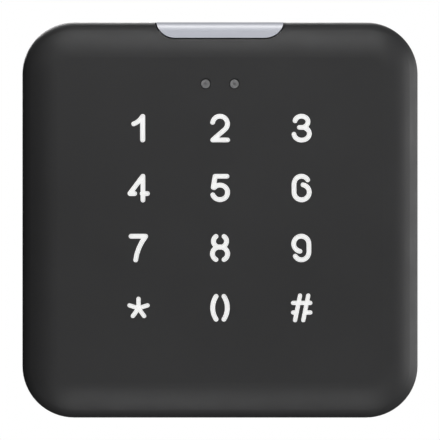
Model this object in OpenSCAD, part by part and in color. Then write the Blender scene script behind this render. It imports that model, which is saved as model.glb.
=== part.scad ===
// Wall card reader with a touch keypad, for an 86 mm wall box.
// Modules draw in the panel frame: x right, y up, z out of the wall, with the wall at z = 0.
// on_wall() then turns the panel frame so that the reader faces -Y with +Z up.

/* [Body] */
// Width and height of the square body
body_w = 86; // [86:0.5:90]
// Distance from the wall to the front face
body_d = 18; // [18:0.25:20]
// Radius of the four corners seen from the front
corner_r = 11.3; // [10.5:0.1:12]
// Radius of the soft part of the edge, next to the front face
soft_r = 10; // [9:0.5:10.5]
// Radius of the tight part of the edge, next to the side wall
tight_r = 5; // [4.5:0.1:5]
// Wall thickness of the front cover
wall = 2; // [1.8:0.1:2.1]
// Height of the joint line between cover and rear housing
seam_z = 7; // [6.8:0.1:7.2]

/* [Keypad] */
// Distance between key columns
key_pitch_x = 17.55; // [17.2:0.05:18]
// Distance between key rows
key_pitch_y = 12.9; // [12.6:0.05:13.2]
// Height of the keypad's middle above the body's middle
keypad_y = 0.43; // [-0.5:0.01:1]
// Width of a digit's stroke
stroke_w = 0.98; // [0.9:0.02:1.2]
// Size of the digits; 1 is 6.3 mm high
symbol_size = 0.965; // [0.9:0.005:1]

/* [Lights] */
// Width of the light bar at the top edge
bar_w = 27.7; // [22:0.1:32]
// Height of the light bar seen from the front
bar_h = 3.7; // [3.2:0.05:4]
// Corner radius of the light bar
bar_r = 4.2; // [3.8:0.1:4.5]
// Half the distance between the two indicator windows
indicator_x = 3.1; // [2.6:0.1:5]
// Height of the indicator windows above the body's middle
indicator_y = 29.3; // [28.8:0.1:30]
// Diameter of an indicator window
indicator_d = 1.9; // [1.6:0.1:2.1]

/* [Wall bracket] */
// Distance between opposite wall screws
screw_pitch = 60; // [60:0.1:60.6]
// Width of the wall screw slots and holes
slot_w = 4.4; // [3.6:0.1:4.6]
// Length of the wall screw slots
slot_l = 8; // [7:0.5:9]
// Width of the cable window
cable_w = 34; // [30:1:36]
// Height of the cable window
cable_h = 30; // [28:1:32]

/* [Moving parts] */
// Travel of the tamper plunger
tamper_travel = 1.5; // [1:0.1:1.5]
// Length of the lock screw
lock_l = 5; // [4.5:0.1:5]

/* [Hidden] */
$fn = 48;
half_w = body_w / 2;

// How far joined shapes run into each other
merge = 0.5;

// Front cover
seam_gap = 0.2;
cover_z = seam_z + seam_gap / 2;
face_t = wall;
ceiling_z = body_d - face_t;
// Direction of the surface where the soft part of the edge meets the tight part
edge_turn = [0.6, 0.8];
bar_gap = 0.3;
bar_back_z = seam_z + 1.5;
boss_tip_room = 0.35;

// Key symbols: the star and the hash are drawn thinner, the stem of the 1 wider
glyph_gap = 0.04;
glyph_sink = 0.06;
thin_stroke = 0.1;
wide_stem = 0.07;

// Rear housing
skirt_t = 2.2;
skirt_gap = 0.6;
ledge_in = 1;
floor_z = 3.4;
floor_t = 1.8;
floor_top = floor_z + floor_t;
shelf_z = seam_z - seam_gap / 2;
tongue_gap = 0.3;
tongue_t = 1.2;
tongue_h = 1.7;
gasket_w = 0.8;
gasket_h = 0.8;
gasket_in = 0.75;
post_d = 8;
post_gap = 0.1;
post_hole_d = 3;
head_pocket_d = 5.4;
window_gap = 0.4;

// Main board
board_t = 1.6;
board_rise = 4.4;
board_back = floor_top + board_rise;
board_front = board_back + board_t;
board_w = 76;
board_r = 5;

// Screws
case_screw_at = 34.5;
case_screw_d = 2.6;
case_screw_l = 9.5;
case_head_d = 4.9;
case_head_h = 1.6;
head_pocket = 2.2;
board_screw = [29.6, 20];
board_screw_d = 2;
board_screw_l = 4.6;
board_head_d = 3.8;
board_head_h = 1.2;
screw_gap = 0.02;
case_screw_end = floor_z + head_pocket + case_screw_l;
case_boss_d = 6;
board_boss_d = 4.6;
// Cross recesses of the two kinds of screw: length, width and depth
case_recess = [3, 0.7, 1];
board_recess = [2.2, 0.5, 0.7];

// Lights on the board
key_led = [2, 1.2, 0.8];
status_led = [3, 1.4, 1.2];
status_led_pitch = 8;
indicator_led = [1.6, 0.8, 0.6];

// Light bar behind the cover's wall
bar_flange_t = 1;
bar_flange_lip = 1.5;
bar_flange_h = 3.5;
bar_flange_z = bar_back_z + 0.5;
bar_pipe = [19, 2.5, 1.2];
bar_pipe_z = board_front + 0.1;

// Indicator windows and their lenses
indicator_gap = 0.05;
indicator_rim = 0.25;
indicator_rim_depth = 0.5;
indicator_sink = 0.15;
indicator_dimple_d = 0.6;
indicator_dimple_depth = 0.3;
indicator_flange_d = indicator_d + 1.5;
indicator_flange_t = 0.8;

// Keypad light guide and its frame
guide_t = 1;
cell = [15.6, 11.4];
frame_wall = 1.2;
frame_w = 2 * key_pitch_x + cell.x + 2 * frame_wall;
frame_h = 3 * key_pitch_y + cell.y + 2 * frame_wall;
spring_d = 9;
spring_wire = 0.5;
spring_turns = 4;

// Antenna coil
coil_half = 36;
coil_w = 2.4;
coil_h = 1.4;
coil_r = 14;
coil_tail = [0.4, 3];
coil_tail_x = [-5, -3];

// Chips on the back of the board: place, size of the case, leads along x and y
controller_at = [0, 16];
controller_size = [7, 7, 1.4];
controller_leads = [8, 8];
controller_pitch = 0.8;
reader_chip_at = [-21, 14];
reader_chip_size = [5, 5, 1];
reader_chip_leads = [6, 6];
reader_chip_pitch = 0.65;
touch_chip_at = [20, 17];
touch_chip_size = [10, 5.3, 1.7];
touch_chip_leads = [10, 0];
touch_chip_pitch = 0.9;
case_lift = 0.1;
lead_w = 0.3;
lead_l = 1.2;
lead_t = 0.3;
lead_reach = 0.4;

// Power supply and crystal on the back of the board
crystal_at = [-21, 22];
crystal_size = [5, 3.2, 1.2];
crystal_r = 0.4;
capacitor_places = [[-20, -8], [-20, -2]];
capacitor_d = 4;
capacitor_t = 3.9;
capacitor_base_w = 4.3;
capacitor_base_t = 0.8;
regulator_at = [22, -2];
regulator_size = [6.5, 3.5, 1.7];
regulator_tab_w = 3;
regulator_lead_w = 0.7;
regulator_lead_l = 1.6;
regulator_lead_pitch = 2.3;
inductor_at = [-29, -4];
inductor_size = [6, 6, 3];
inductor_foot_w = 4;
inductor_r = 1;

// Small parts on the back of the board: two short rows near the chips
small_rows = [[-12, 8], [10, 8]];
chip_pitch = [2.4, 3];
chip_size = [1.6, 0.8];
resistor_t = 0.45;
capacitors_above = 16;

// Cable connector on the back of the board
plug_y = -6;
plug_w = 18;
plug_h = 5;
plug_d = 6;
plug_base = 1.2;
plug_wall = 0.8;
pin_count = 8;
pin_pitch = 2;
pin_w = 0.5;
pin_short = 1.2;
tail_l = 4;
tail_t = 0.3;
key_slot_x = 5;
key_slot_w = 1.6;
key_slot_short = 1.5;

// Rubber seal around the connector, between the board and the housing
seal_window = [20, 8.6];
seal_w = 1.6;
seal_window_r = 0.8;

// Wall bracket
plate_t = 2.4;
bracket_gap = 0.8;
bracket_half = half_w - skirt_t - bracket_gap;
rib_w = 1.4;
rib_h = 0.7;
rim_w = 2;
window_r = 3;
head_recess = 1.4;
head_slot_w = 8.4;

// Hanging hinge along the top edge
hinge_y = half_w - 1.8;
hinge_z = 1.4;
bead_r = 0.8;
trough_r = 0.9;
hook_x = 20;
hook_w = 10;
hook_side_gap = 0.4;
lip_z = 2.4;
lip_t = 1.2;
lip_top = hinge_y + 0.4;
hook_room_below = 2;
hook_room_above = 0.3;
hook_room_out = 0.4;

// Lock screw at the bottom edge
lock_z = 4.2;
lock_d = 3;
lock_tip = -half_w + lock_l + 0.1;
insert_d = 4.2;
insert_l = 4;
insert_gap = 0.05;
socket_d = 1.75;
socket_depth = 1.5;
access_d = lock_d + 0.6;
boss_end = -half_w + 5;
boss_w = 8;
boss_low = 1;
boss_room = 1;
lug_w = 10;
lug_near = boss_end + 0.6;
lug_t = 2.8;
lug_top = 5.8;
lug_hole_d = lock_d + 0.4;
lug_room_side = 0.5;
lug_room_near = 0.6;
lug_room_far = 1;
lug_room_top = 0.6;
lug_roof_wall = 1.2;

// Buzzer, over its sound hole in the rear housing
buzzer_at = [-20, -20];
buzzer_d = 12;
buzzer_t = 3.5;
sound_hole_d = 2;
sound_hole_depth = 1;

// Tamper switch
tamper_at = [22, -18];
tamper_body = 7;
tamper_bore = 5;
tamper_pin_d = 3;
tamper_tip = 0.05;
tamper_flange_d = 4.8;
tamper_flange_t = 0.8;
tamper_flange_z = floor_top + 0.4 + tamper_travel;
tamper_roof = 0.6;
tamper_lift = 0.2;
tamper_pin_gap = 0.1;
spring_coil_r = 1.6;

// ---------- Shared shapes ----------

module on_wall() {
    rotate([90, 0, 0]) children();
}

module four_corners(x, y) {
    for (sx = [-1, 1]) {
        for (sy = [-1, 1]) {
            translate([sx * x, sy * y, 0]) children();
        }
    }
}

module rounded_rect(w, h, r) {
    square([w - 2 * r, h], center = true);
    square([w, h - 2 * r], center = true);
    four_corners(w / 2 - r, h / 2 - r) circle(r);
}

module slab(w, h, r, z0, z1) {
    translate([0, 0, z0]) linear_extrude(z1 - z0) rounded_rect(w, h, r);
}

module block(w, h, z0, z1) {
    translate([-w / 2, -h / 2, z0]) cube([w, h, z1 - z0]);
}

module rod(d, z0, z1) {
    translate([0, 0, z0]) cylinder(d = d, h = z1 - z0);
}

// Section of the body's edge: from the corner's centre line outwards, up to the front face
module edge_section(r, z0, z1, soft, tight) {
    width = soft * edge_turn.x + tight * (1 - edge_turn.x);
    drop = soft * (1 - edge_turn.y) + tight * edge_turn.y;
    soft_at = [r - width, z1 - soft];
    tight_at = [r - tight, z1 - drop];
    joint = tight_at + tight * edge_turn;
    polygon([[0, z0], [r, z0], [r, tight_at.y], joint, [soft_at.x, z1], [0, z1]]);
    intersection() {
        translate(tight_at) circle(tight);
        translate(tight_at) polygon(2 * tight * [[0, 0], [1, 0], [1, 1], edge_turn]);
    }
    intersection() {
        translate(soft_at) circle(soft);
        translate(soft_at) polygon(2 * soft * [[0, 0], edge_turn, [0, 1]]);
    }
}

module inset_edge(inset, z0, z1) {
    edge_section(corner_r - inset, z0, z1, soft_r - inset, tight_r - inset);
}

// Square body with round corners and a soft front edge, set in from the outside by inset
module soft_body(inset, z0, z1) {
    side = half_w - corner_r;
    block(2 * side, 2 * side, z0, z1);
    for (quarter = [0:3]) {
        rotate(90 * quarter) translate([side, side, 0]) {
            rotate_extrude(angle = 90) inset_edge(inset, z0, z1);
            rotate([90, 0, 0]) linear_extrude(2 * side) inset_edge(inset, z0, z1);
        }
    }
}

// Straight-sided body outline, set in by inset
module body_slab(inset, z0, z1) {
    slab(body_w - 2 * inset, body_w - 2 * inset, corner_r - inset, z0, z1);
}

module body_ring(outer_inset, inner_inset, z0, z1) {
    difference() {
        body_slab(outer_inset, z0, z1);
        body_slab(inner_inset, z0 - 1, z1 + 1);
    }
}

// ---------- Key symbols ----------

function along(a) = [cos(a), sin(a)];

// Points from angle a0 to angle a1 on the ellipse around c with half widths r
function arc_points(c, r, a0, a1, step = 12) = let (n = ceil(abs(a1 - a0) / step))
    [for (i = [0:n]) let (a = a0 + (a1 - a0) * i / n) c + [r.x * cos(a), r.y * sin(a)]];

// Points on the circle's arc from p to q that bulges to the right of that line by bulge
function bend_points(p, q, bulge) = let (
    chord = norm(q - p),
    r = (chord * chord / 4 + bulge * bulge) / (2 * bulge),
    right = [q.y - p.y, p.x - q.x] / chord,
    middle = atan2(right.y, right.x),
    spread = asin(chord / 2 / r)
) arc_points((p + q) / 2 - (r - bulge) * right, [r, r], middle - spread, middle + spread, 8);

function heading(points, i) = let (d = points[i + 1] - points[i]) atan2(d.y, d.x);
function nearest_turn(a) = a - 360 * round(a / 360);
function backwards(points) = [for (i = [len(points) - 1:-1:0]) points[i]];

// The line r to the left of a row of points, with an arc where the row turns sharply to the right
function left_side(points, r) = let (last = len(points) - 1) [
    for (i = [0:last])
        let (
            before = heading(points, max(i - 1, 0)),
            turn = nearest_turn(heading(points, min(i, last - 1)) - before)
        )
        each turn < -40
            ? arc_points(points[i], [r, r], before + 90, before + turn + 90, 18)
            : [points[i] + r / cos(turn / 2) * along(before + turn / 2 + 90)]
];

function round_end(c, r, direction) = [for (i = [1:8]) c + r * along(direction + 90 - 20 * i)];

// Stroke of width w with round ends, along a row of points
module stroke(points, w) {
    back = backwards(points);
    last = len(points) - 1;
    polygon(concat(
        left_side(points, w / 2), round_end(points[last], w / 2, heading(points, last - 1)),
        left_side(back, w / 2), round_end(back[last], w / 2, heading(back, last - 1))
    ));
}

module symbol_1(w) {
    stroke([[0.93, 2.6], [0.93, -2.6]], w + wide_stem);
    stroke(bend_points([-1.07, 0.95], [0.82, 2.5], 0.2), w);
}

module symbol_2(w) {
    c = [0, 1];
    r = 1.67;
    foot = [-1.62, -2.62];
    reach = foot - c;
    leave = atan2(reach.y, reach.x) + acos(r / norm(reach));
    stroke(concat(arc_points(c, [r, r], 170, leave), [foot, [1.7, -2.62]]), w);
}

module symbol_3(w) {
    stroke(arc_points([0, 1.43], [1.46, 1.24], -62, 170), w);
    stroke(arc_points([0.04, -1.23], [1.72, 1.43], -175, 60), w);
    stroke([[-0.47, 0.17], [0.75, 0.17]], w);
}

module symbol_4(w) {
    stroke([[0.98, 2.65], [0.98, -2.67]], w);
    stroke([[0.86, 2.52], [-1.93, -1.2]], w);
    stroke([[-1.86, -1.23], [-0.86, -1.23]], w);
    stroke([[0.8, -1.23], [1.99, -1.23]], w);
}

module symbol_5(w) {
    stroke([[1.56, 2.63], [-1.1, 2.63], [-1.5, 0.17]], w);
    stroke(arc_points([0, -0.95], [1.7, 1.63], -160, 140), w);
}

module symbol_6(w) {
    upper = arc_points([0, 0.85], [1.66, 1.8], 33, 180);
    lower = arc_points([0.04, -0.93], [1.7, 1.69], 180, 440);
    stroke(concat(upper, lower), w);
}

module symbol_7(w) {
    stroke([[-1.68, 2.61], [1.6, 2.61]], w);
    stroke(backwards(bend_points([1.56, 2.52], [-0.64, -2.68], 0.38)), w);
}

module symbol_8(w) {
    stroke(arc_points([0, 1.5], [1.47, 1.35], -232, 52), w);
    stroke(arc_points([0, -1.3], [1.7, 1.53], -58, 238), w);
}

module symbol_0(w) {
    for (turned = [0, 180]) {
        rotate(turned) stroke(bend_points([0.87, -2.57], [0.87, 2.57], 0.77), w);
    }
}

module symbol_star(w) {
    hub = [0, -0.1];
    for (a = [90:72:378]) {
        stroke([hub + 0.3 * along(a), hub + 2.12 * along(a)], w);
    }
}

module symbol_hash(w) {
    lean = [0.55, 2.74];
    for (x = [-0.88, 0.95]) {
        stroke([[x, 0] - lean, [x, 0] + lean], w);
    }
    stroke([[-1.87, 1.1], [1.96, 1.1]], w);
    stroke([[-1.87, -1.04], [-1.09, -1.04]], w);
    stroke([[0.75, -1.04], [1.96, -1.04]], w);
}

// Keys are counted from the top left, row by row
function key_at(i) = [(i % 3 - 1) * key_pitch_x, keypad_y + (1.5 - floor(i / 3)) * key_pitch_y];

module symbol(i, w) {
    if (i == 0) symbol_1(w);
    if (i == 1) symbol_2(w);
    if (i == 2) symbol_3(w);
    if (i == 3) symbol_4(w);
    if (i == 4) symbol_5(w);
    if (i == 5) symbol_6(w);
    if (i == 6) symbol_7(w);
    if (i == 7) symbol_8(w);
    if (i == 8) rotate(180) symbol_6(w);
    if (i == 9) symbol_star(w - thin_stroke);
    if (i == 10) symbol_0(w);
    if (i == 11) symbol_hash(w - thin_stroke);
}

module symbols(w, z0, z1) {
    for (i = [0:11]) {
        translate([0, 0, z0]) linear_extrude(z1 - z0)
            translate(key_at(i)) scale(symbol_size) symbol(i, w / symbol_size);
    }
}

// ---------- Front cover and lights ----------

// Space of the light bar: its outline from the front crossed with its outline from above
module bar_space(gap) {
    w = bar_w + 2 * gap;
    r = bar_r + gap;
    reach = 3 * bar_r;
    intersection() {
        translate([0, half_w - bar_h - gap + reach / 2, 0])
            slab(w, reach, r, bar_back_z - 1, body_d + 1);
        translate([0, half_w + 1, bar_back_z - gap + reach])
            rotate([90, 0, 0]) slab(w, 2 * reach, r, 0, bar_h + gap + 2);
    }
}

module cover_boss(d, hole_d, hole_top) {
    difference() {
        rod(d, board_front, ceiling_z + merge);
        rod(hole_d, board_front - 1, hole_top);
    }
}

module front_cover() color("#3c3c3c") on_wall() {
    difference() {
        soft_body(0, cover_z, body_d);
        soft_body(wall, cover_z - 1, ceiling_z);
        bar_space(bar_gap);
        symbols(stroke_w + 2 * glyph_gap, ceiling_z - 1, body_d + 1);
        for (side = [-1, 1]) {
            translate([side * indicator_x, indicator_y, 0]) {
                rod(indicator_d + 2 * indicator_gap, ceiling_z - 1, body_d + 1);
                rod(indicator_d + 2 * indicator_rim, body_d - indicator_rim_depth, body_d + 1);
            }
        }
    }
    four_corners(case_screw_at, case_screw_at)
        cover_boss(case_boss_d, case_screw_d + 2 * screw_gap, case_screw_end + boss_tip_room);
    four_corners(board_screw.x, board_screw.y)
        cover_boss(board_boss_d, board_screw_d + 2 * screw_gap, board_back + board_screw_l + boss_tip_room);
}

module keypad_light_guide() color("#eef1f2") on_wall() {
    translate([0, keypad_y, 0]) block(frame_w, frame_h, ceiling_z - guide_t, ceiling_z);
    symbols(stroke_w, ceiling_z - guide_t / 2, body_d - glyph_sink);
}

module light_bar_lens() color("#d5dae4") on_wall() {
    difference() {
        intersection() {
            soft_body(0, cover_z, body_d);
            bar_space(0);
        }
        soft_body(wall, cover_z - 1, ceiling_z);
    }
    // Flange glued behind the cover's wall, and a light pipe that reaches to the lights on the board
    translate([0, half_w - wall - bar_flange_t / 2, 0])
        block(bar_w + 2 * bar_flange_lip, bar_flange_t, bar_flange_z, bar_flange_z + bar_flange_h);
    translate([0, half_w - wall - bar_pipe.y / 2 - bar_flange_t + merge, 0])
        block(bar_pipe.x, bar_pipe.y, bar_pipe_z, bar_pipe_z + bar_pipe.z);
}

module indicator_lens(side) color("#8a8d90") on_wall() translate([side * indicator_x, indicator_y, 0]) {
    front_z = body_d - indicator_sink;
    difference() {
        rod(indicator_d, board_front + indicator_led.z + 0.3, front_z);
        rod(indicator_dimple_d, front_z - indicator_dimple_depth, front_z + 1);
    }
    rod(indicator_flange_d, ceiling_z - indicator_flange_t, ceiling_z);
}

module key_light_frame() color("#f2f2ee") on_wall() {
    difference() {
        translate([0, keypad_y, 0]) block(frame_w, frame_h, board_front, ceiling_z - guide_t);
        for (i = [0:11]) {
            translate(key_at(i)) block(cell.x, cell.y, board_front - 1, ceiling_z);
        }
    }
}

// Coil contact that carries the touch field from the board to the light guide
module touch_spring(i) color("#c9a25c") on_wall() translate(key_at(i)) {
    rise = (ceiling_z - guide_t - board_front - spring_wire) / (spring_turns - 1);
    for (turn = [0:spring_turns - 1]) {
        translate([0, 0, board_front + spring_wire / 2 + turn * rise])
            rotate_extrude() translate([(spring_d - spring_wire) / 2, 0]) circle(d = spring_wire);
    }
    for (turn = [0:spring_turns - 2]) {
        rotate(90 * turn) translate([(spring_d - spring_wire) / 2, 0, 0])
            rod(0.8 * spring_wire, board_front + spring_wire / 2 + turn * rise,
                board_front + spring_wire / 2 + (turn + 1) * rise);
    }
}

module led(size) {
    block(size.x, size.y, board_front, board_front + size.z);
}

module key_leds() color("#fbfbe8") on_wall() {
    for (i = [0:11]) {
        translate(key_at(i)) led(key_led);
    }
}

module status_leds() color("#fbfbe8") on_wall() {
    for (i = [-1:1]) {
        translate([i * status_led_pitch, coil_half + 1, 0]) led(status_led);
    }
}

module indicator_leds() color("#f4f0d8") on_wall() {
    for (side = [-1, 1]) {
        translate([side * indicator_x, indicator_y, 0]) led(indicator_led);
    }
}

// ---------- Board and what is on it ----------

module main_board() color("#1f5a3a") on_wall() {
    difference() {
        slab(board_w, board_w, board_r, board_back, board_front);
        four_corners(case_screw_at, case_screw_at)
            rod(case_screw_d + 0.6, board_back - 1, board_front + 1);
        four_corners(board_screw.x, board_screw.y)
            rod(board_screw_d + 0.4, board_back - 1, board_front + 1);
    }
}

module board_screws() color("#b8bcc0") on_wall() {
    four_corners(board_screw.x, board_screw.y) difference() {
        union() {
            rod(board_head_d, board_back - board_head_h, board_back);
            rod(board_screw_d, board_back - board_head_h / 2, board_back + board_screw_l);
        }
        cross_recess(board_recess, board_back - board_head_h);
    }
}

// Crossed slot in a screw head whose outer end is at z
module cross_recess(size, z) {
    block(size.x, size.y, z - 1, z + size.z);
    block(size.y, size.x, z - 1, z + size.z);
}

module antenna_coil() color("#b5653a") on_wall() {
    inner = coil_half - coil_w;
    difference() {
        slab(2 * coil_half, 2 * coil_half, coil_r, board_front, board_front + coil_h);
        slab(2 * inner, 2 * inner, coil_r - coil_w, board_front - 1, board_front + coil_h + 1);
    }
    for (x = coil_tail_x) {
        translate([x, coil_tail.y / 2 - inner, 0])
            block(coil_tail.x, coil_tail.y + 2 * merge, board_front, board_front + coil_tail.x);
    }
}

module buzzer() color("#222222") on_wall() translate(buzzer_at) difference() {
    rod(buzzer_d, board_back - buzzer_t, board_back);
    rod(sound_hole_d, board_back - buzzer_t - 1, board_back - buzzer_t + sound_hole_depth);
}

// Flat package with a row of leads along each of its sides that has any
module chip(size, leads, pitch) {
    lead_out = [size.x / 2 + lead_reach, size.y / 2 + lead_reach];
    block(size.x, size.y, board_back - size.z, board_back - case_lift);
    for (side = [-1, 1]) {
        for (i = [0:1:leads.x - 1]) {
            translate([(i - (leads.x - 1) / 2) * pitch, side * lead_out.y, 0]) foot(lead_w, lead_l);
        }
        for (i = [0:1:leads.y - 1]) {
            translate([side * lead_out.x, (i - (leads.y - 1) / 2) * pitch, 0]) foot(lead_l, lead_w);
        }
    }
}

// Flat piece of metal that is soldered to the back of the board
module foot(w, h) {
    block(w, h, board_back - lead_t, board_back);
}

module microcontroller() color("#26272b") on_wall() translate(controller_at) {
    chip(controller_size, controller_leads, controller_pitch);
}

module reader_chip() color("#26272b") on_wall() translate(reader_chip_at) {
    chip(reader_chip_size, reader_chip_leads, reader_chip_pitch);
}

module touch_chip() color("#26272b") on_wall() translate(touch_chip_at) {
    chip(touch_chip_size, touch_chip_leads, touch_chip_pitch);
}

module crystal() color("#c8ccd0") on_wall() translate(crystal_at) {
    slab(crystal_size.x, crystal_size.y, crystal_r, board_back - crystal_size.z, board_back - lead_t);
    foot(crystal_size.x + 2 * case_lift, crystal_size.y + 2 * case_lift);
}

module power_capacitors() color("#aeb3b8") on_wall() {
    base_z = board_back - capacitor_base_t;
    for (place = capacitor_places) {
        translate(place) {
            block(capacitor_base_w, capacitor_base_w, base_z, board_back);
            rod(capacitor_d, board_back - capacitor_t, base_z + case_lift);
        }
    }
}

module voltage_regulator() color("#26272b") on_wall() translate(regulator_at) {
    foot_y = regulator_size.y / 2 + lead_reach;
    block(regulator_size.x, regulator_size.y, board_back - regulator_size.z, board_back - case_lift);
    translate([0, foot_y, 0]) foot(regulator_tab_w, regulator_lead_l);
    for (i = [-1:1]) {
        translate([i * regulator_lead_pitch, -foot_y, 0]) foot(regulator_lead_w, regulator_lead_l);
    }
}

module power_inductor() color("#3a3a3c") on_wall() translate(inductor_at) {
    slab(inductor_size.x, inductor_size.y, inductor_r, board_back - inductor_size.z, board_back - lead_t);
    foot(inductor_size.x + 2 * case_lift, inductor_foot_w);
}

module chip_resistors() color("#303236") on_wall() {
    for (row = small_rows) {
        for (i = [0:5]) {
            translate([row.x + (i % 3) * chip_pitch.x, row.y + floor(i / 3) * chip_pitch.y, 0])
                block(chip_size.x, chip_size.y, board_back - resistor_t, board_back);
        }
    }
}

module chip_capacitors() color("#b08a5a") on_wall() {
    for (row = small_rows) {
        for (i = [0:2]) {
            translate([row.x + i * chip_pitch.x, row.y + capacitors_above, 0])
                block(chip_size.x, chip_size.y, board_back - chip_size.y, board_back);
        }
    }
}

module connector_pin(gap) {
    w = pin_w + 2 * gap;
    block(w, w, board_back - plug_d + pin_short, board_back);
    translate([0, tail_l / 2, 0]) block(w, tail_l, board_back - tail_t - gap, board_back + gap);
}

module each_pin() {
    for (i = [0:pin_count - 1]) {
        translate([(i - (pin_count - 1) / 2) * pin_pitch, plug_y, 0]) children();
    }
}

module cable_connector() color("#efe9da") on_wall() difference() {
    translate([0, plug_y, 0]) difference() {
        mouth = board_back - plug_d;
        block(plug_w, plug_h, mouth, board_back);
        block(plug_w - 2 * plug_wall, plug_h - 2 * plug_wall, mouth - 1, board_back - plug_base);
        // Keying slots in one long wall
        for (side = [-1, 1]) {
            translate([side * key_slot_x, -plug_h / 2, 0])
                block(key_slot_w, 3 * plug_wall, mouth - 1, board_back - plug_base - key_slot_short);
        }
    }
    each_pin() connector_pin(screw_gap);
}

module connector_pins() color("#d9c27a") on_wall() each_pin() connector_pin(0);

module connector_seal() color("#2b2b2b") on_wall() translate([0, plug_y, 0]) difference() {
    outer = seal_window + 2 * [seal_w, seal_w];
    slab(outer.x, outer.y, seal_window_r + seal_w, floor_top, board_back);
    slab(seal_window.x, seal_window.y, seal_window_r, floor_top - 1, board_back + 1);
}

// ---------- Rear housing ----------

module screw_post() {
    rod(post_d, floor_top - merge, board_back - post_gap);
}

module screw_post_hole() {
    rod(post_hole_d, floor_z - 1, board_back + 1);
    rod(head_pocket_d, floor_z - 1, floor_z + head_pocket);
}

// Cuts that leave a round bead on the hinge line with room around it for a bracket hook
module hook_pocket() {
    w = hook_w + 2 * hook_side_gap;
    low_y = hinge_y - hook_room_below;
    roof_y = lip_top + hook_room_above;
    bead_top = hinge_z + bead_r;
    room_top = lip_z + lip_t + hook_room_out;
    difference() {
        union() {
            translate([-w / 2, low_y, skirt_gap - 1])
                cube([w, hinge_y - low_y, bead_top - skirt_gap + 1]);
            translate([-w / 2, low_y, bead_top]) cube([w, roof_y - low_y, room_top - bead_top]);
        }
        translate([0, hinge_y, hinge_z]) rotate([0, 90, 0]) cylinder(r = bead_r, h = w + 2, center = true);
    }
}

// Boss that holds the lock screw's insert, and the roof over the room for the bracket's lug
module lock_boss() {
    boss_start = ledge_in - half_w;
    translate([0, (boss_end + boss_start) / 2, 0]) block(boss_w, boss_end - boss_start, boss_low, shelf_z);
    lug_space(lug_roof_wall, floor_top - merge);
}

// Room for the bracket's lug, grown by extra on every side, from z0 upwards
module lug_space(extra, z0) {
    w = lug_w + 2 * (lug_room_side + extra);
    low = lug_near - lug_room_near - extra;
    high = lug_near + lug_t + lug_room_far + extra;
    translate([0, (low + high) / 2, 0]) block(w, high - low, z0, lug_top + lug_room_top + extra);
}

module rear_housing() color("#343434") on_wall() difference() {
    tongue_in = wall + tongue_gap;
    union() {
        body_ring(0, skirt_t, skirt_gap, shelf_z);
        body_slab(skirt_t - merge, floor_z, floor_top);
        body_ring(ledge_in, tongue_in + tongue_t, floor_top - merge, shelf_z);
        body_ring(tongue_in, tongue_in + tongue_t, shelf_z - merge, shelf_z + tongue_h);
        four_corners(case_screw_at, case_screw_at) screw_post();
        lock_boss();
    }
    body_ring(gasket_in, gasket_in + gasket_w, cover_z - gasket_h, cover_z);
    four_corners(case_screw_at, case_screw_at) screw_post_hole();
    for (side = [-1, 1]) {
        translate([side * hook_x, 0, 0]) hook_pocket();
    }
    lug_space(0, floor_z - 1);
    // Lock screw: access hole from below and the insert's seat
    translate([0, 0, lock_z]) rotate([90, 0, 0]) {
        rod(access_d, -boss_end - 1, half_w + 1);
        rod(insert_d, -boss_end - 1, -boss_end + insert_l);
    }
    // Window for the cable connector, and openings for the tamper pin and the buzzer
    translate([0, plug_y, 0])
        block(plug_w + 2 * window_gap, plug_h + 2 * window_gap, floor_z - 1, floor_top + 1);
    translate(tamper_at) rod(tamper_pin_d + 2 * tamper_pin_gap, floor_z - 1, floor_top + 1);
    translate(buzzer_at) rod(sound_hole_d, floor_z - 1, floor_top + 1);
}

module housing_gasket() color("#1c1c1c") on_wall() {
    body_ring(gasket_in, gasket_in + gasket_w, cover_z - gasket_h, cover_z);
}

module housing_screws() color("#8f9398") on_wall() {
    head_z = floor_z + head_pocket;
    four_corners(case_screw_at, case_screw_at) difference() {
        union() {
            rod(case_head_d, head_z - case_head_h, head_z);
            rod(case_screw_d, head_z - case_head_h / 2, head_z + case_screw_l);
        }
        cross_recess(case_recess, head_z - case_head_h);
    }
}

module lock_screw_insert() color("#c8a050") on_wall() translate([0, 0, lock_z]) rotate([90, 0, 0]) {
    difference() {
        rod(insert_d, -boss_end, -boss_end + insert_l);
        rod(lock_d + 2 * insert_gap, -boss_end - 1, half_w);
    }
}

// Set screw with a hexagon socket in its lower end
module lock_screw() color("#6d7074") on_wall() translate([0, 0, lock_z]) rotate([90, 0, 0]) {
    difference() {
        rod(lock_d, -lock_tip, -lock_tip + lock_l);
        translate([0, 0, -lock_tip + lock_l - socket_depth])
            cylinder(d = socket_d, h = socket_depth + 1, $fn = 6);
    }
}

module tamper_switch_body() color("#2a2a2a") on_wall() translate(tamper_at) difference() {
    block(tamper_body, tamper_body, floor_top + tamper_lift, board_back);
    rod(tamper_bore, floor_top - 1, board_back - tamper_roof);
}

module tamper_plunger() color("#d8d2c0") on_wall() translate(tamper_at) {
    rod(tamper_pin_d, tamper_tip, tamper_flange_z + tamper_flange_t / 2);
    rod(tamper_flange_d, tamper_flange_z, tamper_flange_z + tamper_flange_t);
}

module tamper_spring() color("#b8bcc0") on_wall() translate(tamper_at) {
    low_z = tamper_flange_z + tamper_flange_t;
    high_z = board_back - tamper_roof;
    wire = (high_z - low_z) / 3;
    for (turn = [0:2]) {
        translate([0, 0, low_z + (turn + 0.5) * wire])
            rotate_extrude() translate([spring_coil_r, 0]) circle(d = 1.04 * wire);
    }
}

// ---------- Wall bracket ----------

module slot_outline(half, w) {
    square([2 * half, w], center = true);
    for (side = [-1, 1]) {
        translate([side * half, 0]) circle(d = w);
    }
}

// Slot for a wall screw with a wider recess for its head; half is half the screw's free play
module wall_slot(half) {
    translate([0, 0, -1]) linear_extrude(plate_t + 2) slot_outline(half, slot_w);
    translate([0, 0, plate_t - head_recess]) linear_extrude(2) slot_outline(half, head_slot_w);
}

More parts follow.
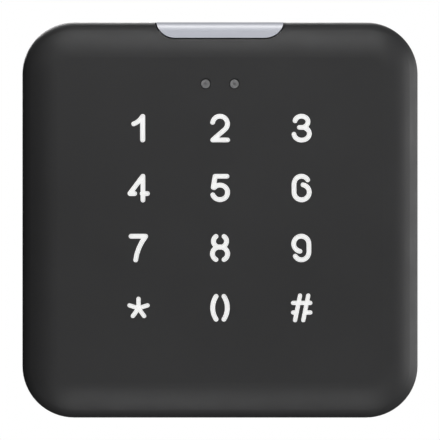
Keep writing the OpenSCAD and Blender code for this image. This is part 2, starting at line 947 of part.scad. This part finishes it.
module wall_hole() {
    rod(slot_w, -1, plate_t + 1);
    rod(head_slot_w, plate_t - head_recess, plate_t + 1);
}

// Hook with a round trough that the housing's bead turns in
module bracket_hook() {
    low_y = bracket_half - 0.1;
    difference() {
        union() {
            translate([-hook_w / 2, low_y, 0]) cube([hook_w, hinge_y - 0.5 - low_y, lip_z + lip_t]);
            translate([-hook_w / 2, low_y, lip_z]) cube([hook_w, lip_top - low_y, lip_t]);
        }
        translate([0, hinge_y, hinge_z])
            rotate([0, 90, 0]) cylinder(r = trough_r, h = hook_w + 2, center = true);
    }
}

// Cable window, grown by extra on every side
module window_slab(extra, z0, z1) {
    slab(cable_w + 2 * extra, cable_h + 2 * extra, window_r + extra, z0, z1);
}

module wall_bracket() color("#4a4d50") on_wall() {
    inset = half_w - bracket_half;
    difference() {
        union() {
            body_slab(inset, 0, plate_t);
            body_ring(inset, inset + rib_w, plate_t - merge, plate_t + rib_h);
            window_slab(rim_w, plate_t - merge, plate_t + rib_h);
            translate([0, lug_near + lug_t / 2, 0]) block(lug_w, lug_t, 0, lug_top);
            for (side = [-1, 1]) {
                translate([side * hook_x, 0, 0]) bracket_hook();
            }
        }
        window_slab(0, -1, plate_t + 2);
        for (side = [-1, 1]) {
            translate([side * screw_pitch / 2, 0, 0]) wall_slot((slot_l - slot_w) / 2);
            translate([0, side * screw_pitch / 2, 0]) wall_hole();
        }
        // Room for the housing's lock screw boss, and the lock screw's hole in the lug
        translate([0, lug_near - boss_w / 2, 0]) block(boss_w + 2 * boss_room, boss_w, -1, plate_t + 2);
        translate([0, 0, lock_z]) rotate([90, 0, 0]) rod(lug_hole_d, -lug_near - lug_t - 1, -lug_near + 1);
        translate(tamper_at) rod(tamper_bore, -1, plate_t + 1);
    }
}

front_cover();
keypad_light_guide();
light_bar_lens();
indicator_lens(-1);  // indicator_lens_left
indicator_lens(1);  // indicator_lens_right
key_light_frame();
for (i = [0:11]) {
    touch_spring(i);
}
key_leds();
status_leds();
indicator_leds();
main_board();
board_screws();
antenna_coil();
buzzer();
microcontroller();
reader_chip();
touch_chip();
crystal();
power_capacitors();
voltage_regulator();
power_inductor();
chip_resistors();
chip_capacitors();
cable_connector();
connector_pins();
connector_seal();
rear_housing();
housing_gasket();
housing_screws();
lock_screw();
lock_screw_insert();
tamper_switch_body();
tamper_plunger();
tamper_spring();
wall_bracket();
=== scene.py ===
# Looks of the wall card reader: materials, small details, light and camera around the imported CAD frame.
import math

import bmesh
import bpy
from mathutils import Matrix, Vector


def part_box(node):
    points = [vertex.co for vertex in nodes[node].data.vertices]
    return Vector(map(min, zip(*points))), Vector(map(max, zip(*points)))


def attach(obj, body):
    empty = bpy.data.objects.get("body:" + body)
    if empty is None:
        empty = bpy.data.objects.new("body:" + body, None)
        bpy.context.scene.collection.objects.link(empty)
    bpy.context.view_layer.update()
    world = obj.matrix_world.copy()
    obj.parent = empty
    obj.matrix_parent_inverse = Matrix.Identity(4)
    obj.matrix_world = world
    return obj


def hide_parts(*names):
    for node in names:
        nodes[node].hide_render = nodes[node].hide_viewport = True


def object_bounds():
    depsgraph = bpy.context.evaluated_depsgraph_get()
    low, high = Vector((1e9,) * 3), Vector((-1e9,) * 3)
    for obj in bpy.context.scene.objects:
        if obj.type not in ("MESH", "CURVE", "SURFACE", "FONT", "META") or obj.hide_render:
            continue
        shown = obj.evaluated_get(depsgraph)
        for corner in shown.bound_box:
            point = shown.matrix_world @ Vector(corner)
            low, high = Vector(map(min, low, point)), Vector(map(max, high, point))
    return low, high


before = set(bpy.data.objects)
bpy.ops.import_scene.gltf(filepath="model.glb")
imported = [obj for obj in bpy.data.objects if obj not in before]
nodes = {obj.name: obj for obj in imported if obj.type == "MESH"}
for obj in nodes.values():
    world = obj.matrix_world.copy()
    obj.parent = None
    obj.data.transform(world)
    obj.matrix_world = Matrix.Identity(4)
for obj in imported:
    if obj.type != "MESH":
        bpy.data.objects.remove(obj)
cad_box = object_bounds()

KEY_NUMBERS = range(1, 13)

# Noise scales, in features per metre
FLOW_MOTTLE = 38.0
MOULDED_GRAIN = 3200.0
HANDLING_MARKS = 140.0
METAL_STAINS = 380.0
MACHINING_MARKS = 1400.0
MILKY_CLOUDS = 240.0
PAPER_FIBRES = 900.0

# Depths and reaches in a surface, in metres
FINE_GRAIN = 0.00001
HOUSING_GRAIN = 0.00002
BRACKET_GRAIN = 0.00003
MACHINING_DEPTH = 0.000006
WORN_EDGE = 0.0002
SCATTER_DEPTH = 0.0008

# Shares of its own colour that a material goes down or up to in places
FLOW_DARK = 0.93
FLOW_LIGHT = 1.08
GRAIN_SPECK = 1.5
WORN_LIGHT = 1.6
STAIN_DARK = 0.72
CLOUD_DARK = 0.97

SPECK_AMOUNT = 0.12    # the most that a speck of the grain shows of its lighter colour

# How far a material's roughness goes up or down in places
HANDLED_GLOSS = 0.04
GRAIN_GLOSS = 0.03
CLOUD_GLOSS = 0.01
POLISHED_MARK = 0.07
DULL_MARK = 0.1

POLISH_ROUGHNESS = 0.28  # of the shine on top of clear plastic

# Moulded radius on the sharp edges of CAD pieces, in metres
EDGE_RADII = {
    "wall_bracket": 0.0002,
    "rear_housing": 0.00015,
    "cable_connector": 0.0001,
    "tamper_plunger": 0.00015,
}
EDGE_SEGMENTS = 2
SHARP_ANGLE = 30.0     # degrees
WELD_GAP = 0.000002    # m, joins the loose corners of the CAD mesh first

# Wound wire: its diameters, and the radius of the antenna's corners, in metres
WIRE_SIDES = 10
STEPS_PER_TURN = 18
KEY_SPRING_WIRE = 0.0005
KEY_SPRING_TURNS = 5
TAMPER_SPRING_WIRE = 0.00028
TAMPER_SPRING_TURNS = 4
ANTENNA_WIRE = 0.00046
ANTENNA_TURNS_ACROSS = 5
ANTENNA_LAYERS = 3
ANTENNA_CORNER = 0.014
CORNER_STEPS = 8

# Lamps: name, degrees to the right, degrees up (past 90 is behind), width, height, distance in metres, watts
STUDIO_LIGHTS = (
    ("key", 0, 30, 0.6, 0.22, 1.0, 1.8),
    ("low_fill", 0, -32, 0.6, 0.22, 1.0, 1.6),
    ("near_top", 0, 60, 0.2, 0.06, 0.2, 0.158),
    ("near_bottom", 0, -60, 0.2, 0.06, 0.2, 0.098),
    ("right_front", 65, 0, 0.22, 0.6, 1.0, 0.6),
    ("right", 85, 0, 0.22, 0.6, 1.0, 3.9),
    ("right_back", 105, 0, 0.22, 0.6, 1.0, 0.9),
    ("right_far_back", 130, 0, 0.22, 0.6, 1.0, 1.2),
    ("left", -65, 0, 0.22, 0.6, 1.0, 0.1),
    ("back", 10, 155, 0.6, 0.6, 1.0, 9.0),
)
TOO_BRIGHT_FOR_BAR = ("near_top", "back")
BAR_LIGHTS = (
    ("bar_fill", 0, 20, 0.6, 0.3, 1.0, 3.0),
    ("bar_glint", 0, 104, 0.6, 0.3, 1.0, 3.4),
)
FLOOR_LIGHT = ("floor_wash", 0, 90, 1.4, 1.4, 1.4, 40.0)

FLOOR_HEIGHT = -0.25
FLOOR_RADIUS = 1.0
FLOOR_CORNERS = 64
FADE_START = 0.35      # share of the floor's radius
PAPER_DARK = (0.84, 0.84, 0.84)
PAPER_LIGHT = (0.88, 0.88, 0.88)
PAPER_ROUGHNESS = 0.9
BACKDROP_WHITE = 1.0
AMBIENT_LIGHT = 0.006

LENS = 200.0           # mm, long enough that the front is seen almost without perspective
SENSOR_WIDTH = 36.0    # mm
SHOWN_HEIGHT = 0.0947  # m, at the front face


# ---------- Material helpers ----------

def new_material(name):
    """Material with nothing but a Principled shader, ready for its colour and relief."""
    material = bpy.data.materials.new(name)
    material.use_nodes = True
    tree = material.node_tree
    tree.nodes.clear()
    out = tree.nodes.new("ShaderNodeOutputMaterial")
    shader = tree.nodes.new("ShaderNodeBsdfPrincipled")
    tree.links.new(shader.outputs["BSDF"], out.inputs["Surface"])
    return material, tree, shader


def noise(tree, scale, detail=3.0, roughness=0.5):
    """Noise over the object's own coordinates; scale is in features per metre."""
    where = tree.nodes.new("ShaderNodeTexCoord")
    made = tree.nodes.new("ShaderNodeTexNoise")
    made.inputs["Scale"].default_value = scale
    made.inputs["Detail"].default_value = detail
    made.inputs["Roughness"].default_value = roughness
    tree.links.new(where.outputs["Object"], made.inputs["Vector"])
    return made.outputs["Fac"]


def spread(tree, value, low, high, start=0.3, end=0.7):
    """A value mapped from start..end to low..high."""
    made = tree.nodes.new("ShaderNodeMapRange")
    made.inputs["From Min"].default_value = start
    made.inputs["From Max"].default_value = end
    made.inputs["To Min"].default_value = low
    made.inputs["To Max"].default_value = high
    tree.links.new(value, made.inputs["Value"])
    return made.outputs["Result"]


def mixed(tree, amount, first, second):
    """Colour that goes from first to second as amount goes from 0 to 1."""
    made = tree.nodes.new("ShaderNodeMix")
    made.data_type = "RGBA"
    tree.links.new(amount, made.inputs["Factor"])
    for socket, colour in (("A", first), ("B", second)):
        # The node has an A and a B for each kind of value, and only the colour ones are wanted
        target = [s for s in made.inputs if s.name == socket and s.type == "RGBA"][0]
        if isinstance(colour, tuple):
            target.default_value = (*colour, 1)
        else:
            tree.links.new(colour, target)
    return [s for s in made.outputs if s.type == "RGBA"][0]


def added(tree, first, second):
    """The sum of two values."""
    made = tree.nodes.new("ShaderNodeMath")
    made.operation = "ADD"
    tree.links.new(first, made.inputs[0])
    tree.links.new(second, made.inputs[1])
    return made.outputs["Value"]


def bump(tree, shader, height, depth):
    """Relief on the surface: depth is in metres, from the lowest to the highest value of height."""
    made = tree.nodes.new("ShaderNodeBump")
    made.inputs["Strength"].default_value = 1.0
    made.inputs["Distance"].default_value = depth
    tree.links.new(height, made.inputs["Height"])
    tree.links.new(made.outputs["Normal"], shader.inputs["Normal"])


def worn_edges(tree, reach):
    """1 where the surface turns within reach of a sharp edge, 0 on open surfaces."""
    rounded = tree.nodes.new("ShaderNodeBevel")
    rounded.samples = 4
    rounded.inputs["Radius"].default_value = reach
    surface = tree.nodes.new("ShaderNodeNewGeometry")
    match = tree.nodes.new("ShaderNodeVectorMath")
    match.operation = "DOT_PRODUCT"
    tree.links.new(rounded.outputs["Normal"], match.inputs[0])
    tree.links.new(surface.outputs["Normal"], match.inputs[1])
    return spread(tree, match.outputs["Value"], 1.0, 0.0, start=0.8, end=0.99)


def shade(colour, share):
    """The colour made darker or lighter by a share."""
    return tuple(min(1.0, c * share) for c in colour)


def moulded_plastic(name, colour, roughness, depth=FINE_GRAIN, shine=0.5):
    """Moulded plastic: fine grain, faint flow mottle, handling marks in the gloss and paler edges."""
    material, tree, shader = new_material(name)
    flow = noise(tree, FLOW_MOTTLE, detail=4.0)
    grain = noise(tree, MOULDED_GRAIN, detail=2.0, roughness=0.6)
    handling = noise(tree, HANDLING_MARKS, detail=5.0, roughness=0.65)
    body = mixed(tree, spread(tree, flow, 0.0, 1.0), shade(colour, FLOW_DARK), shade(colour, FLOW_LIGHT))
    specks = spread(tree, grain, 0.0, SPECK_AMOUNT, start=0.45, end=0.75)
    speckled = mixed(tree, specks, body, shade(colour, GRAIN_SPECK))
    finish = mixed(tree, worn_edges(tree, WORN_EDGE), speckled, shade(colour, WORN_LIGHT))
    tree.links.new(finish, shader.inputs["Base Color"])
    handled = spread(tree, handling, roughness - HANDLED_GLOSS, roughness + HANDLED_GLOSS)
    rough = added(tree, handled, spread(tree, grain, -GRAIN_GLOSS, GRAIN_GLOSS))
    tree.links.new(rough, shader.inputs["Roughness"])
    shader.inputs["Specular IOR Level"].default_value = shine
    bump(tree, shader, grain, depth)
    return material


def metal(name, colour, roughness):
    """Plated metal with fine machining marks and slightly darker, duller patches."""
    material, tree, shader = new_material(name)
    stains = noise(tree, METAL_STAINS)
    marks = noise(tree, MACHINING_MARKS, detail=2.0)
    stained = mixed(tree, spread(tree, stains, 0.0, 1.0), shade(colour, STAIN_DARK), colour)
    tree.links.new(stained, shader.inputs["Base Color"])
    rough = spread(tree, marks, roughness - POLISHED_MARK, roughness + DULL_MARK)
    tree.links.new(rough, shader.inputs["Roughness"])
    shader.inputs["Metallic"].default_value = 1.0
    bump(tree, shader, marks, MACHINING_DEPTH)
    return material


def clear_plastic(name, colour, roughness, glow=0.0, scatter=0.35, polish=0.0):
    """Milky plastic: scatter is the share of light that goes inside and back out, polish a shine on top."""
    material, tree, shader = new_material(name)
    clouds = noise(tree, MILKY_CLOUDS)
    clouded = mixed(tree, spread(tree, clouds, 0.0, 1.0), shade(colour, CLOUD_DARK), colour)
    tree.links.new(clouded, shader.inputs["Base Color"])
    rough = spread(tree, clouds, roughness - CLOUD_GLOSS, roughness + CLOUD_GLOSS)
    tree.links.new(rough, shader.inputs["Roughness"])
    shader.inputs["Subsurface Weight"].default_value = scatter
    shader.inputs["Subsurface Radius"].default_value = (1.0, 1.0, 1.0)
    shader.inputs["Subsurface Scale"].default_value = SCATTER_DEPTH
    shader.inputs["Emission Color"].default_value = (*colour, 1)
    shader.inputs["Emission Strength"].default_value = glow
    shader.inputs["Coat Weight"].default_value = polish
    shader.inputs["Coat Roughness"].default_value = POLISH_ROUGHNESS
    return material


def paint(node, material):
    """Gives a CAD node one material all over."""
    piece = nodes[node]
    piece.data.materials.clear()
    piece.data.materials.append(material)


# ---------- Materials ----------

cover_plastic = moulded_plastic("cover_plastic", (0.032, 0.032, 0.033), 0.54)
housing_plastic = moulded_plastic("housing_plastic", (0.028, 0.028, 0.029), 0.55, depth=HOUSING_GRAIN)
bracket_plastic = moulded_plastic("bracket_plastic", (0.045, 0.046, 0.048), 0.6, depth=BRACKET_GRAIN)
guide_plastic = clear_plastic("light_guide", (0.9, 0.9, 0.89), 0.3, glow=0.46)
bar_plastic = clear_plastic("bar_lens", (0.74, 0.762, 0.845), 0.4, scatter=0.0, polish=0.8)
indicator_plastic = clear_plastic("indicator_lens", (0.3, 0.302, 0.305), 0.28)
white_plastic = moulded_plastic("white_plastic", (0.76, 0.76, 0.73), 0.5)
black_part = moulded_plastic("black_part", (0.02, 0.02, 0.021), 0.45)
chip_case = moulded_plastic("chip", (0.018, 0.018, 0.02), 0.62)
connector_plastic = moulded_plastic("connector_plastic", (0.74, 0.7, 0.6), 0.45)
plunger_plastic = moulded_plastic("plunger_plastic", (0.68, 0.64, 0.53), 0.4)
seal_rubber = moulded_plastic("seal_rubber", (0.014, 0.014, 0.014), 0.8, shine=0.3)
circuit_board = moulded_plastic("circuit_board", (0.012, 0.09, 0.045), 0.32)
led_case = clear_plastic("led", (0.85, 0.83, 0.62), 0.2)
ceramic = moulded_plastic("ceramic", (0.36, 0.26, 0.15), 0.5)
zinc = metal("zinc_screw", (0.6, 0.61, 0.63), 0.32)
dark_steel = metal("lock_steel", (0.16, 0.16, 0.17), 0.42)
brass = metal("brass", (0.62, 0.44, 0.18), 0.3)
tin = metal("tin_pin", (0.72, 0.62, 0.38), 0.25)
spring_steel = metal("spring_steel", (0.52, 0.53, 0.55), 0.25)
contact_brass = metal("spring_contact", (0.66, 0.48, 0.24), 0.28)
copper = metal("coil_wire", (0.62, 0.25, 0.12), 0.35)
can = metal("metal_can", (0.64, 0.65, 0.66), 0.3)

FINISHES = {
    "front_cover": cover_plastic,
    "rear_housing": housing_plastic,
    "wall_bracket": bracket_plastic,
    "keypad_light_guide": guide_plastic,
    "light_bar_lens": bar_plastic,
    "indicator_lens_left": indicator_plastic,
    "indicator_lens_right": indicator_plastic,
    "key_light_frame": white_plastic,
    "buzzer": black_part,
    "tamper_switch_body": black_part,
    "power_inductor": black_part,
    "microcontroller": chip_case,
    "reader_chip": chip_case,
    "touch_chip": chip_case,
    "voltage_regulator": chip_case,
    "chip_resistors": chip_case,
    "chip_capacitors": ceramic,
    "cable_connector": connector_plastic,
    "tamper_plunger": plunger_plastic,
    "connector_seal": seal_rubber,
    "housing_gasket": seal_rubber,
    "main_board": circuit_board,
    "key_leds": led_case,
    "status_leds": led_case,
    "indicator_leds": led_case,
    "board_screws": zinc,
    "housing_screws": zinc,
    "lock_screw": dark_steel,
    "lock_screw_insert": brass,
    "connector_pins": tin,
    "tamper_spring": spring_steel,
    "antenna_coil": copper,
    "crystal": can,
    "power_capacitors": can,
}
for node_name, finish in FINISHES.items():
    paint(node_name, finish)
for number in KEY_NUMBERS:
    paint(f"touch_spring_{number}", contact_brass)


# ---------- Edges of the moulded pieces ----------

def soften_edges(node, radius):
    """Small moulded radius on the sharp edges of a CAD piece."""
    piece = nodes[node]
    weld = piece.modifiers.new("weld", "WELD")
    weld.merge_threshold = WELD_GAP
    bevel = piece.modifiers.new("soft_edges", "BEVEL")
    bevel.width = radius
    bevel.segments = EDGE_SEGMENTS
    bevel.limit_method = "ANGLE"
    bevel.angle_limit = math.radians(SHARP_ANGLE)
    bevel.harden_normals = True
    bevel.use_clamp_overlap = True


for node_name, edge_radius in EDGE_RADII.items():
    soften_edges(node_name, edge_radius)


# ---------- Wound wire: springs and coil ----------

def wire_rings(made, points, closed, radius):
    """Rings of vertices round a row of points, each turned as little as can be from the one before."""
    count = len(points)
    rings = []
    side = None
    for i, point in enumerate(points):
        before = points[i - 1] if closed or i else point
        after = points[(i + 1) % count] if closed or i < count - 1 else point
        ahead = (after - before).normalized()
        side = side or ahead.orthogonal()
        side = (side - ahead * side.dot(ahead)).normalized()
        other = ahead.cross(side)
        turns = [math.tau * k / WIRE_SIDES for k in range(WIRE_SIDES)]
        around = [math.cos(turn) * side + math.sin(turn) * other for turn in turns]
        rings.append([made.verts.new(point + radius * out) for out in around])
    return rings


def join_rings(made, here, there, shift=0):
    """Smooth faces from one ring to the next; shift is how many corners the next one is turned by."""
    for k in range(WIRE_SIDES):
        after = (k + 1) % WIRE_SIDES
        far, far_after = there[(k + shift) % WIRE_SIDES], there[(after + shift) % WIRE_SIDES]
        made.faces.new((here[k], here[after], far_after, far)).smooth = True


def wire_mesh(paths, radius):
    """One mesh of round wires, each along a row of points; a closed row joins end to end."""
    made = bmesh.new()
    for points, closed in paths:
        rings = wire_rings(made, points, closed, radius)
        first, last = rings[0], rings[-1]
        for here, there in zip(rings, rings[1:]):
            join_rings(made, here, there)
        if closed:
            nearest = min(range(WIRE_SIDES), key=lambda k: (first[k].co - last[0].co).length)
            join_rings(made, last, first, nearest)
        else:
            made.faces.new(first[::-1])
            made.faces.new(last)
    bmesh.ops.recalc_face_normals(made, faces=made.faces)
    return made


def wire_piece(name, paths, wire, material, node, body):
    """A piece of round wire of that diameter, in place of the CAD node."""
    mesh = bpy.data.meshes.new(name)
    made = wire_mesh(paths, wire / 2)
    made.to_mesh(mesh)
    made.free()
    mesh.materials.append(material)
    piece = bpy.data.objects.new(name, mesh)
    bpy.context.scene.collection.objects.link(piece)
    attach(piece, body)
    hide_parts(node)


def coil_spring(node, wire, turns):
    """Helix with flat end turns that fills the box of the CAD spring, along the Y axis."""
    low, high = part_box(node)
    middle = (low + high) / 2
    around = (high.x - low.x) / 2 - wire / 2
    start, end = low.y + wire / 2, high.y - wire / 2
    points = []
    for i in range(turns * STEPS_PER_TURN + 1):
        share = i / (turns * STEPS_PER_TURN)
        # The first and last half turn lie flat
        rise = min(max((share * turns - 0.5) / (turns - 1), 0.0), 1.0)
        turn = math.tau * i / STEPS_PER_TURN
        x = middle.x + around * math.cos(turn)
        z = middle.z + around * math.sin(turn)
        points.append(Vector((x, start + rise * (end - start), z)))
    return points


def rounded_square(middle_x, depth, middle_z, side, radius):
    """Closed row of points round an upright square; side is from its middle to the corners' centres."""
    points = []
    for quarter in range(4):
        centre_x = middle_x + (side if quarter in (0, 3) else -side)
        centre_z = middle_z + (side if quarter in (0, 1) else -side)
        for step in range(CORNER_STEPS + 1):
            angle = math.radians(90 * quarter + 90 * step / CORNER_STEPS)
            x = centre_x + radius * math.cos(angle)
            z = centre_z + radius * math.sin(angle)
            points.append(Vector((x, depth, z)))
    return points


def antenna_windings(wire, across, layers, corner):
    """Rounded square turns of enamelled wire that fill the CAD coil's section."""
    low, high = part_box("antenna_coil")
    half = (high.x - low.x) / 2
    middle_x, middle_z = (low.x + high.x) / 2, (low.z + high.z) / 2
    turns = []
    for layer in range(layers):
        depth = high.y - wire / 2 - layer * (high.y - low.y - wire) / (layers - 1)
        for turn in range(across):
            inset = wire / 2 + turn * wire
            turns.append((rounded_square(middle_x, depth, middle_z, half - corner, corner - inset), True))
    return turns


for number in KEY_NUMBERS:
    contact = f"touch_spring_{number}"
    helix = coil_spring(contact, KEY_SPRING_WIRE, KEY_SPRING_TURNS)
    wire_piece(f"touch_coil_{number}", [(helix, False)], KEY_SPRING_WIRE,
               contact_brass, contact, "reader")

helix = coil_spring("tamper_spring", TAMPER_SPRING_WIRE, TAMPER_SPRING_TURNS)
wire_piece("tamper_coil", [(helix, False)], TAMPER_SPRING_WIRE,
           spring_steel, "tamper_spring", "reader")

windings = antenna_windings(ANTENNA_WIRE, ANTENNA_TURNS_ACROSS, ANTENNA_LAYERS, ANTENNA_CORNER)
wire_piece("antenna_windings", windings, ANTENNA_WIRE,
           copper, "antenna_coil", "reader")


# ---------- Stage: floor, light and camera ----------

def area_light(name, aside, above, width, height, distance, watts):
    """Soft lamp that faces the reader from so many degrees to the right of the camera and degrees up."""
    data = bpy.data.lights.new(name, "AREA")
    data.shape = "RECTANGLE"
    data.size = width
    data.size_y = height
    data.energy = watts
    light = bpy.data.objects.new(name, data)
    bpy.context.scene.collection.objects.link(light)
    turn = Matrix.Rotation(math.radians(aside), 3, "Z") @ Matrix.Rotation(math.radians(90 - above), 3, "X")
    light.location = turn @ Vector((0, 0, distance))
    light.rotation_euler = turn.to_euler()
    light.visible_camera = False
    return light


def link_light(light, target, choice):
    """With INCLUDE the lamp lights this object alone, and with EXCLUDE everything but this object."""
    group = bpy.data.collections.new(light.name + "_on")
    group.objects.link(target)
    group.collection_objects[0].light_linking.link_state = choice
    light.light_linking.receiver_collection = group


def floor_paper(radius):
    """Pale paper that fades out towards the rim of a round floor."""
    material, tree, shader = new_material("floor_paper")
    fibres = noise(tree, PAPER_FIBRES)
    colour = mixed(tree, spread(tree, fibres, 0.0, 1.0), PAPER_DARK, PAPER_LIGHT)
    tree.links.new(colour, shader.inputs["Base Color"])
    shader.inputs["Roughness"].default_value = PAPER_ROUGHNESS
    where = tree.nodes.new("ShaderNodeTexCoord")
    flat = tree.nodes.new("ShaderNodeVectorMath")
    flat.operation = "MULTIPLY"
    flat.inputs[1].default_value = (1, 1, 0)
    away = tree.nodes.new("ShaderNodeVectorMath")
    away.operation = "LENGTH"
    tree.links.new(where.outputs["Object"], flat.inputs[0])
    tree.links.new(flat.outputs["Vector"], away.inputs[0])
    fade = spread(tree, away.outputs["Value"], 1.0, 0.0, start=FADE_START * radius, end=radius)
    tree.links.new(fade, shader.inputs["Alpha"])
    return material


def plain_floor(height, radius):
    """Pale round floor, with no edge to be seen against the white behind it."""
    mesh = bpy.data.meshes.new("floor")
    turns = [math.tau * i / FLOOR_CORNERS for i in range(FLOOR_CORNERS)]
    rim = [(radius * math.cos(turn), radius * math.sin(turn), height) for turn in turns]
    mesh.from_pydata(rim, [], [range(FLOOR_CORNERS)])
    mesh.materials.append(floor_paper(radius))
    floor = bpy.data.objects.new("floor", mesh)
    bpy.context.scene.collection.objects.link(floor)
    # The floor shows and takes shadows, but throws no light back on the dark body
    floor.visible_diffuse = False
    floor.visible_glossy = False
    floor.visible_shadow = False
    return floor


def studio_world(backdrop, ambient):
    """White behind the object as the camera sees it, and a dim even light from all round."""
    world = bpy.data.worlds.new("studio")
    world.use_nodes = True
    tree = world.node_tree
    tree.nodes.clear()
    out = tree.nodes.new("ShaderNodeOutputWorld")
    rays = tree.nodes.new("ShaderNodeLightPath")
    choice = tree.nodes.new("ShaderNodeMixShader")
    tree.links.new(rays.outputs["Is Camera Ray"], choice.inputs["Fac"])
    for socket, strength in ((1, ambient), (2, backdrop)):
        white = tree.nodes.new("ShaderNodeBackground")
        white.inputs["Color"].default_value = (1, 1, 1, 1)
        white.inputs["Strength"].default_value = strength
        tree.links.new(white.outputs["Background"], choice.inputs[socket])
    tree.links.new(choice.outputs["Shader"], out.inputs["Surface"])
    bpy.context.scene.world = world


def straight_camera(lens, shown_height):
    """Camera straight in front of the reader, so far off that shown_height fills the frame at its face."""
    data = bpy.data.cameras.new("camera")
    data.lens = lens
    data.sensor_width = SENSOR_WIDTH
    data.clip_start = 0.01
    data.clip_end = 20.0
    camera = bpy.data.objects.new("camera", data)
    bpy.context.scene.collection.objects.link(camera)
    middle = (cad_box[0] + cad_box[1]) / 2
    distance = shown_height / data.sensor_width * lens
    camera.location = (middle.x, cad_box[0].y - distance, middle.z)
    camera.rotation_euler = (math.radians(90), 0, 0)
    bpy.context.scene.camera = camera


bpy.context.scene.view_settings.view_transform = "Standard"
floor = plain_floor(FLOOR_HEIGHT, FLOOR_RADIUS)
studio_world(BACKDROP_WHITE, AMBIENT_LIGHT)
lamps = {lamp[0]: area_light(*lamp) for lamp in STUDIO_LIGHTS}
light_bar = nodes["light_bar_lens"]
for lamp_name in TOO_BRIGHT_FOR_BAR:
    link_light(lamps[lamp_name], light_bar, "EXCLUDE")
for lamp in BAR_LIGHTS:
    link_light(area_light(*lamp), light_bar, "INCLUDE")
link_light(area_light(*FLOOR_LIGHT), floor, "INCLUDE")
straight_camera(LENS, SHOWN_HEIGHT)
